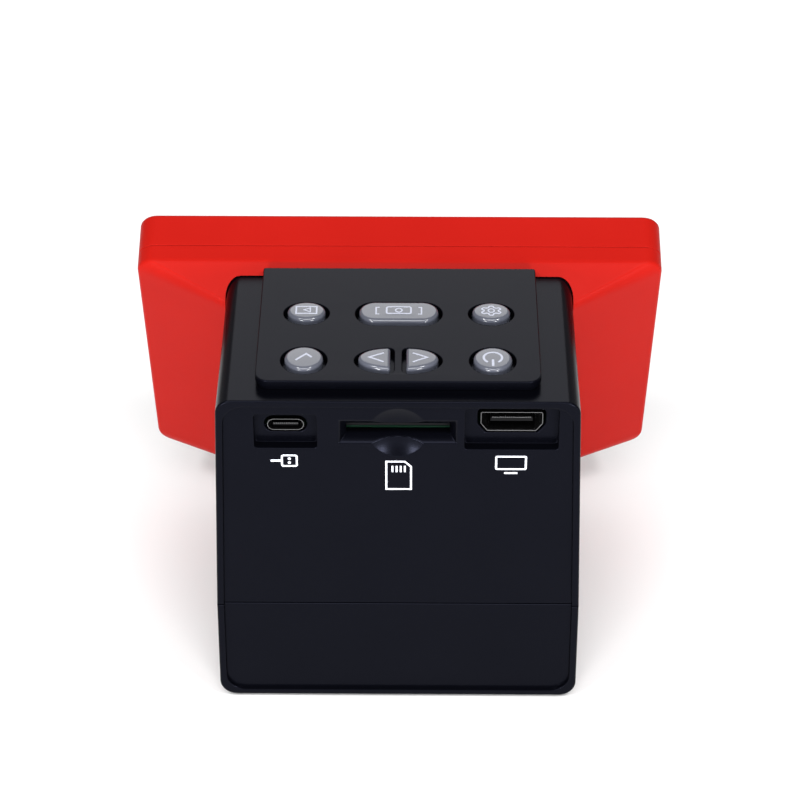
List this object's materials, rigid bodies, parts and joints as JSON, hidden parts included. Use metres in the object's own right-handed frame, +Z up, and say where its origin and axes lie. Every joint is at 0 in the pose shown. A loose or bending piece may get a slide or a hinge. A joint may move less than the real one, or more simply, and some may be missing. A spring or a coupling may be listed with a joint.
{
  "type": "film scanner",
  "caption": "Desktop film scanner: black box body with rear ports, side film slot and top keypad, and a wide red display leaning on its front.",
  "frame": {"origin": "middle of the footprint's bounding box, on the surface that the feet stand on", "axes": "+Z up, +X to the right as seen from behind the scanner, +Y from the port face towards the user and the screen"},
  "size_m": [0.134, 0.0973, 0.1019],
  "materials": {
    "body_black": "fine satin moulded plastic",
    "display_red": "satin moulded plastic",
    "key_grey": "smooth satin plastic with printed pictograms",
    "inner_black": "matte black moulding",
    "inner_white": "matte white moulding",
    "diffuser_white": "milky sheet",
    "board_green": "solder mask over glass fibre board",
    "flex_amber": "amber film",
    "screen_black": "glossy dark window",
    "lens_glass": "clear coated glass",
    "steel": "plated steel",
    "rubber": "matte rubber"
  },
  "bodies": {
    "scanner": {"upper_housing": "body_black", "base_housing": "body_black", "keypad_plate": "body_black", "keypad_frame": "body_black", "confirm_switch": "inner_black", "left_switch": "inner_black", "right_switch": "inner_black", "power_switch": "inner_black", "playback_switch": "inner_black", "capture_switch": "inner_black", "settings_switch": "inner_black", "key_board": "board_green", "main_board": "board_green", "usb_shell": "steel", "usb_tongue": "inner_black", "video_shell": "steel", "video_tongue": "inner_black", "card_socket": "steel", "film_guide_lower": "inner_black", "film_guide_upper": "inner_black", "camera_tower": "inner_black", "lens_barrel": "steel", "lens": "lens_glass", "image_sensor": "inner_black", "sensor_board": "board_green", "light_box": "inner_white", "diffuser": "diffuser_white", "lamp_board": "board_green", "display_back_shell": "display_red", "display_front_frame": "display_red", "screen_window": "screen_black", "display_panel": "inner_black", "display_bracket": "steel", "display_flex": "flex_amber", "foot_rear_left": "rubber", "foot_rear_right": "rubber", "foot_front_left": "rubber", "foot_front_right": "rubber", "housing_screw_left": "steel", "housing_screw_right": "steel"},
    "confirm_button": {"confirm_key": "key_grey"},
    "left_button": {"left_key": "key_grey"},
    "right_button": {"right_key": "key_grey"},
    "power_button": {"power_key": "key_grey"},
    "playback_button": {"playback_key": "key_grey"},
    "capture_button": {"capture_key": "key_grey"},
    "settings_button": {"settings_key": "key_grey"}
  },
  "joints": [
    {"name": "confirm_press", "type": "slide", "parent": "scanner", "child": "confirm_button", "axis": [0, 0, -1], "range_m": [0, 0.0005], "stiffness_N_per_m": 800, "springref_m": -0.0005},
    {"name": "left_press", "type": "slide", "parent": "scanner", "child": "left_button", "axis": [0, 0, -1], "range_m": [0, 0.0005], "stiffness_N_per_m": 800, "springref_m": -0.0005},
    {"name": "right_press", "type": "slide", "parent": "scanner", "child": "right_button", "axis": [0, 0, -1], "range_m": [0, 0.0005], "stiffness_N_per_m": 800, "springref_m": -0.0005},
    {"name": "power_press", "type": "slide", "parent": "scanner", "child": "power_button", "axis": [0, 0, -1], "range_m": [0, 0.0005], "stiffness_N_per_m": 800, "springref_m": -0.0005},
    {"name": "playback_press", "type": "slide", "parent": "scanner", "child": "playback_button", "axis": [0, 0, -1], "range_m": [0, 0.0005], "stiffness_N_per_m": 800, "springref_m": -0.0005},
    {"name": "capture_press", "type": "slide", "parent": "scanner", "child": "capture_button", "axis": [0, 0, -1], "range_m": [0, 0.0005], "stiffness_N_per_m": 800, "springref_m": -0.0005},
    {"name": "settings_press", "type": "slide", "parent": "scanner", "child": "settings_button", "axis": [0, 0, -1], "range_m": [0, 0.0005], "stiffness_N_per_m": 800, "springref_m": -0.0005}
  ]
}
